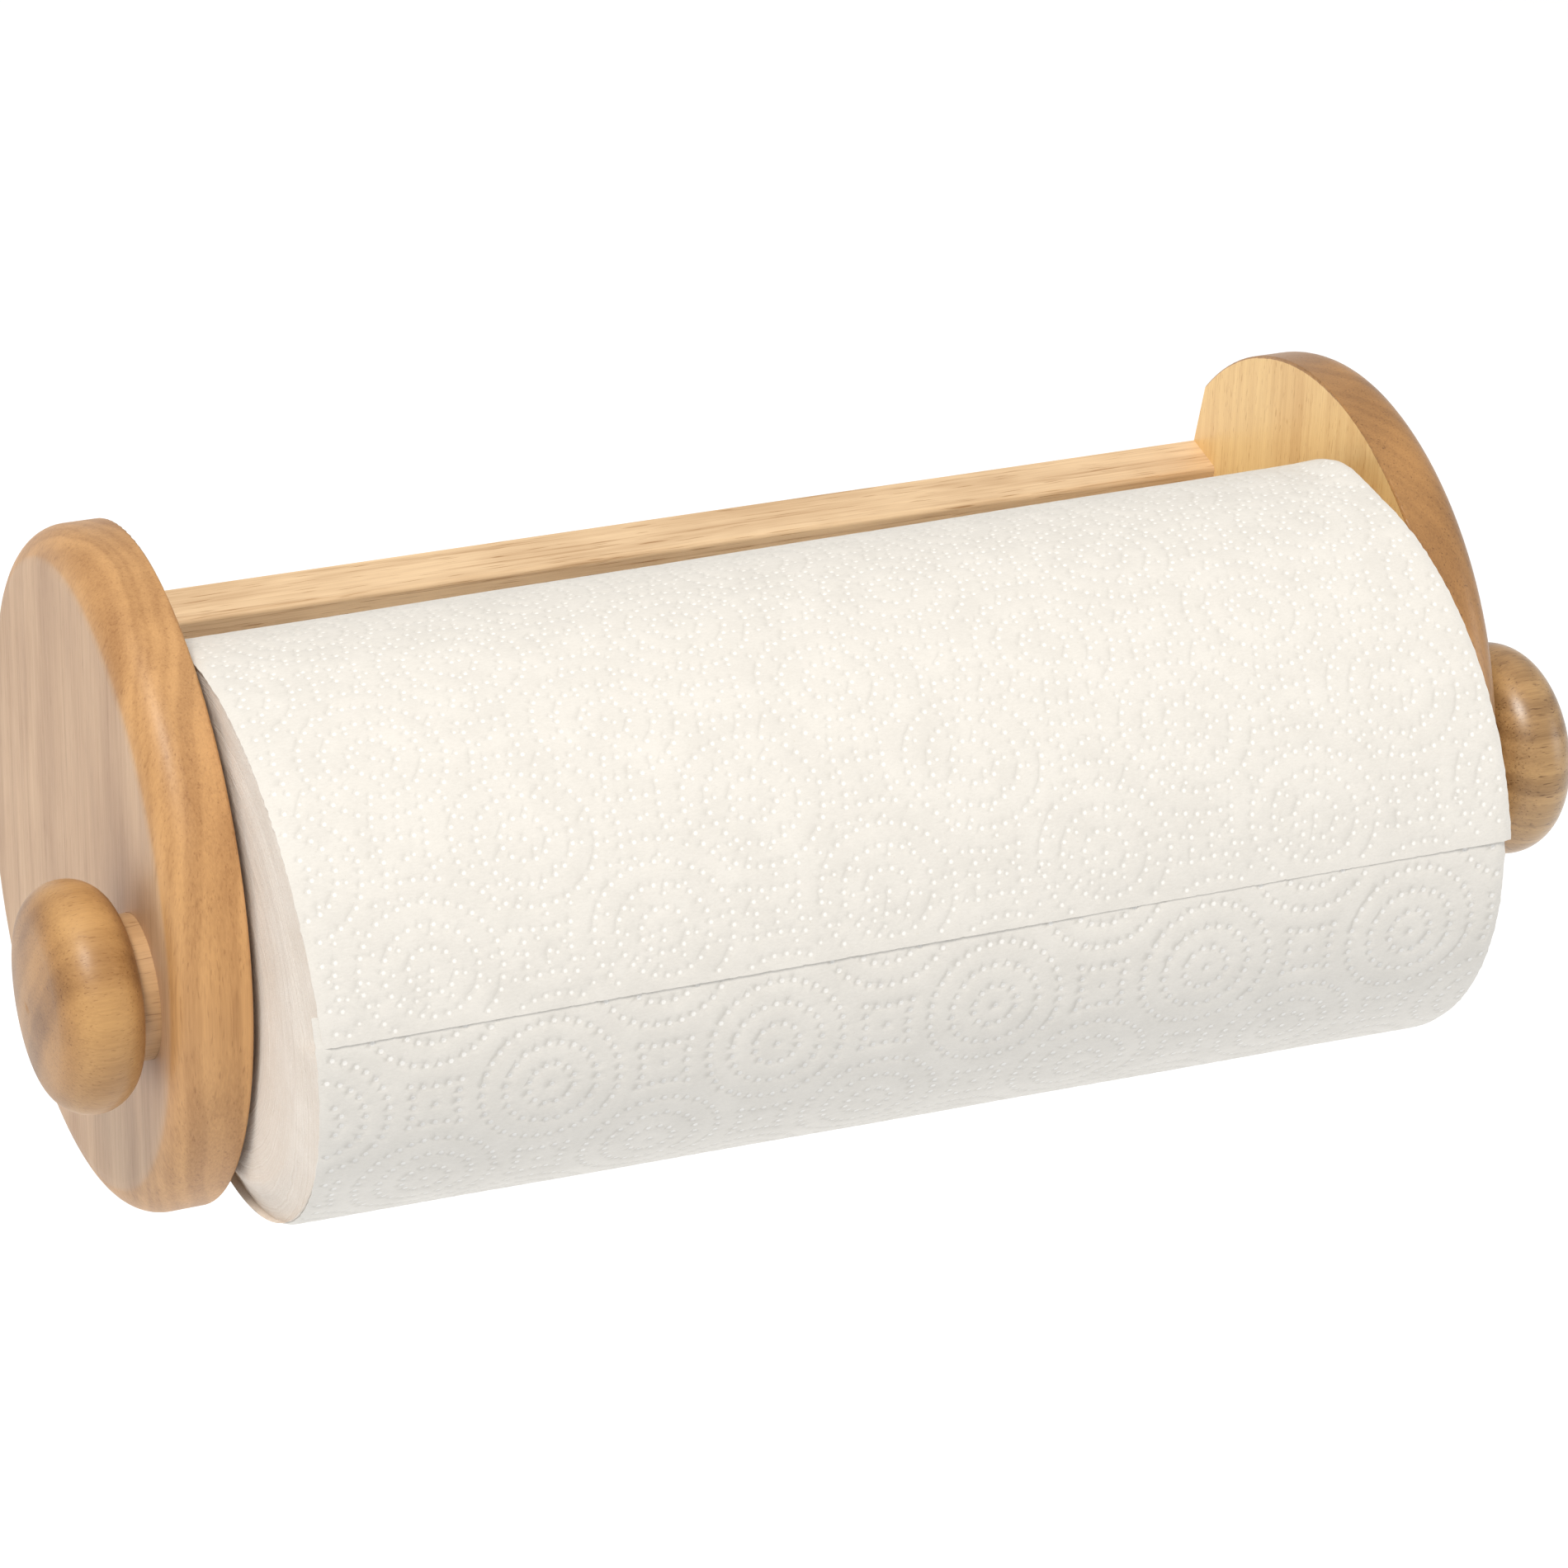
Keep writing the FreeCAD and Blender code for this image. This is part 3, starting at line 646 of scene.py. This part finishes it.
def wound_paper():
    """The roll under its outer turn: a closed body with layered, fuzzy ends and a bore."""
    runs = np.concatenate((spread(0.0, BLEND_RUN, 1.4 * MM)[:-1],
                           spread(BLEND_RUN, GIRTH, 1.9 * MM)[:-1]))
    count = len(runs)
    lowered = (STEP + TUCK_DROP) * (1 - smooth(runs / BLEND_RUN))
    height = STEP * (0.5 - runs / GIRTH) - LOFT - CLEARANCE - lowered

    def bore(x):
        ring = on_roll(np.full(count, x), runs, np.zeros(count))
        away = ring[:, 1:] - np.array(LEFT_CENTRE)
        away /= np.linalg.norm(away, axis=1)[:, None]
        return np.array(CORE_CENTRE) + away * (CORE_RADIUS + BORE_GAP)

    def end_rings(x_end, outward):
        """Rings of layer edges, from the outside in; outward is the end's side along X."""
        outer = on_roll(np.full(count, x_end), runs, height)
        hole = bore(x_end)
        angle = np.arange(count) * 2 * math.pi / count
        made = []
        wander = np.zeros(count)
        for k in range(LAYERS + 1):
            share = k / LAYERS
            ring = outer.copy()
            ring[:, 1:] = outer[:, 1:] * (1 - share) + hole * share
            rough = chance.normal(0.0, 1.0, count)
            rough = (rough + np.roll(rough, 1) + np.roll(rough, 2) + np.roll(rough, -1)) / 4
            wander = 0.9 * wander + 0.1 * chance.normal(0.0, 1.0)
            relief = (0.07 * (k % 2) + 0.06 * rough + 0.4 * wander
                      + 0.12 * np.sin(3 * angle + 5 * share) - 0.25)
            if k == 0:
                relief = np.full(count, -0.35)
            if outward < 0:
                bulge = smooth(share / 0.3)
                relief = relief - left_edge(runs) / MM * (1 - bulge) + 0.9 * bulge
            ring[:, 0] = x_end + outward * relief * MM
            made.append(ring)
        return made

    rings = end_rings(LEFT_END, -1)[::-1]
    right_rings = end_rings(RIGHT_END, 1)
    for x in spread(LEFT_END + 1.2 * MM, RIGHT_END - 1.2 * MM, 20 * MM):
        rings.append(on_roll(np.full(count, x), runs, height + waves(x, runs)))
    rings += right_rings
    faces = []
    near = np.arange(count)
    ahead = np.roll(near, -1)
    for k in range(len(rings)):
        a, b = k * count, ((k + 1) % len(rings)) * count
        faces += list(zip(near + a, ahead + a, ahead + b, near + b))
    return new_piece("wound_paper", np.concatenate(rings), faces, 75)


def build_roll():
    paper = paper_material()
    ends = paper_edge_material()
    body = wound_paper()
    body.data.materials.append(ends)
    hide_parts("paper_roll")
    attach(body, "roll")
    sheet = outer_turn()
    sheet.data.materials.append(paper)
    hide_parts("paper_tail")
    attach(sheet, "roll")
    dress("roll_core", cardboard_material())


# ---------------------------------------------------------------- stage and camera

CAMERA_AZIMUTH = -28.5          # degrees, negative is from the object's left
CAMERA_ELEVATION = 38.5
CAMERA_ROLL = 9.1
CAMERA_DISTANCE = 1.21
CAMERA_LENS = 117.7             # mm on a 36 mm sensor
CAMERA_AIM = (0.0140, -0.0578, -0.0113)


def set_camera():
    """The camera looks down from the front left, and is tilted a little."""
    data = bpy.data.cameras.new("camera")
    data.sensor_width = 36.0
    data.lens = CAMERA_LENS
    data.clip_start = 0.05
    data.clip_end = 50.0
    camera = bpy.data.objects.new("camera", data)
    bpy.context.scene.collection.objects.link(camera)
    azimuth = math.radians(CAMERA_AZIMUTH)
    elevation = math.radians(CAMERA_ELEVATION)
    back = Vector((math.sin(azimuth) * math.cos(elevation),
                   -math.cos(azimuth) * math.cos(elevation), math.sin(elevation)))
    level = Vector((math.cos(azimuth), math.sin(azimuth), 0.0))
    upright = back.cross(level)
    roll = math.radians(CAMERA_ROLL)
    right = level * math.cos(roll) + upright * math.sin(roll)
    up = upright * math.cos(roll) - level * math.sin(roll)
    turn = Matrix((right, up, back)).transposed()
    camera.matrix_world = Matrix.LocRotScale(
        Vector(CAMERA_AIM) + back * CAMERA_DISTANCE, turn.to_quaternion(), None)
    bpy.context.scene.camera = camera


def area_light(name, place, size, power, warmth=(1.0, 1.0, 1.0)):
    """A square soft light that points at the object."""
    data = bpy.data.lights.new(name, "AREA")
    data.size = size
    data.energy = power
    data.color = warmth
    light = bpy.data.objects.new(name, data)
    bpy.context.scene.collection.objects.link(light)
    aim = Vector(CAMERA_AIM)
    light.location = place
    light.rotation_mode = "QUATERNION"
    light.rotation_quaternion = (aim - Vector(place)).to_track_quat("-Z", "Y")


def set_stage():
    """Pale floor well below the wall-hung object, a white room and soft lights."""
    floor_mesh = bpy.data.meshes.new("floor")
    half, depth = 20.0, -0.75
    corners = [(-half, -half, depth), (half, -half, depth), (half, half, depth),
               (-half, half, depth)]
    floor_mesh.from_pydata(corners, [], [(0, 1, 2, 3)])
    floor = bpy.data.objects.new("floor", floor_mesh)
    bpy.context.scene.collection.objects.link(floor)
    graph = Graph("floor")
    cloud = graph.noise(graph.place(), (1.25, 1.25, 1.25))
    inputs = graph.shader.inputs
    graph.put(inputs["Base Color"], graph.mix(cloud, (0.96, 0.975, 1.0, 1.0),
                                              (0.95, 0.97, 0.99, 1.0)))
    inputs["Roughness"].default_value = 0.9
    inputs["Specular IOR Level"].default_value = 0.2
    inputs["Emission Color"].default_value = (1.0, 1.0, 1.0, 1.0)
    inputs["Emission Strength"].default_value = 0.17
    floor_mesh.materials.append(graph.material)
    world = bpy.data.worlds.new("room")
    world.use_nodes = True
    world.node_tree.nodes["Background"].inputs[0].default_value = (1.0, 1.0, 1.0, 1.0)
    world.node_tree.nodes["Background"].inputs[1].default_value = 0.48
    bpy.context.scene.world = world
    area_light("key", (-1.85, -0.85, 4.35), 1.5, 181.0, (1.0, 0.95, 0.88))
    area_light("fill", (2.7, -1.4, 0.9), 1.4, 15.0)
    bpy.context.scene.view_settings.view_transform = "Standard"
    bpy.context.scene.view_settings.look = "None"


set_camera()
set_stage()
dress_wood()
build_roll()
